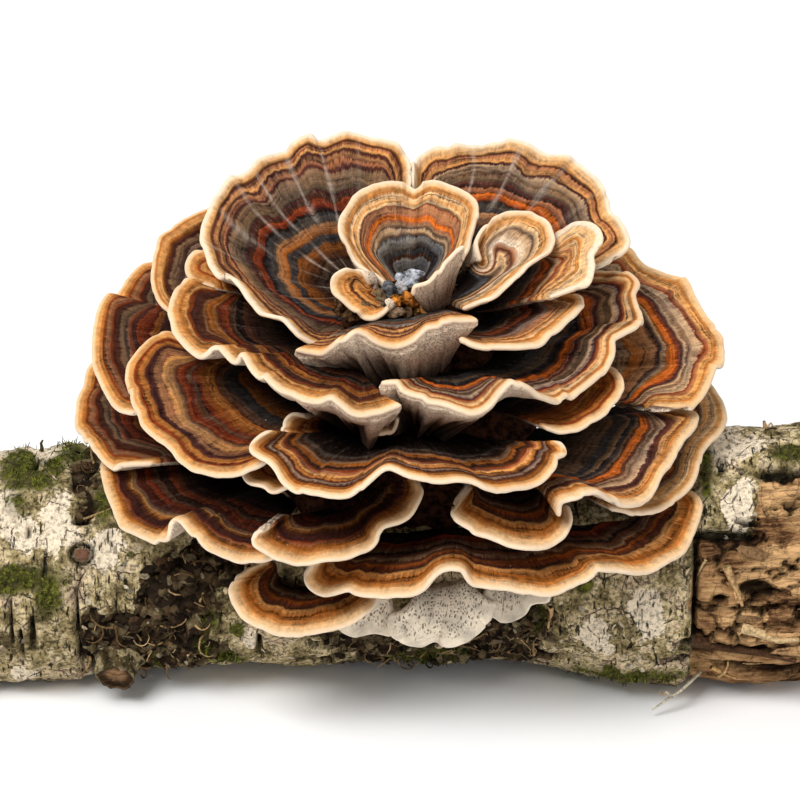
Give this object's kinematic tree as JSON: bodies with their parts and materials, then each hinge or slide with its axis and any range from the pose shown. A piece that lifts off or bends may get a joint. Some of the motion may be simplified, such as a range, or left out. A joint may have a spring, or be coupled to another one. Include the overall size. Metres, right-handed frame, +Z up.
{
  "type": "turkey tail fungus",
  "caption": "Rosette of thin wavy banded bracket caps fanning out in tiers from a fused foot on a short length of dead birch branch, resting on its side",
  "frame": {"origin": "middle of the underside of the whole, on the plane that the branch rests on", "axes": "+X along the branch, to the viewer's right; +Z up; the rosette leans out towards -Y, where the picture was taken from"},
  "size_m": [0.176, 0.0798, 0.1029],
  "materials": {
    "birch": "rough weathered bark",
    "fused_flesh": "matte",
    "cap": "velvety matte, banded",
    "pore_surface": "finely pored matte"
  },
  "bodies": {
    "root": {"birch_branch": "birch", "cap_back_left": "cap", "cap_back_right": "cap", "cap_centre_curl": "cap", "cap_centre_ear": "cap", "cap_centre_fan": "cap", "cap_centre_right": "cap", "cap_centre_spoon": "cap", "cap_front_cup": "cap", "cap_front_tiny": "cap", "cap_front_upper_right": "cap", "cap_left_far": "cap", "cap_left_low": "cap", "cap_left_sliver": "cap", "cap_left_tall": "cap", "cap_left_upper": "cap", "cap_left_upper_small": "cap", "cap_low_front": "cap", "cap_low_left": "cap", "cap_low_small_right": "cap", "cap_lowest_left": "cap", "cap_lowest_right": "cap", "cap_right_low": "cap", "cap_right_round": "cap", "cap_right_tall": "cap", "cap_shelf_front": "cap", "cap_shelf_lobe": "cap", "cap_tier_left": "cap", "cap_tier_right": "cap", "cap_wing_left": "cap", "cap_wing_right": "cap", "pore_lobe_left": "pore_surface", "pore_lobe_middle": "pore_surface", "pore_lobe_right": "pore_surface", "rosette_foot": "fused_flesh"}
  },
  "joints": []
}
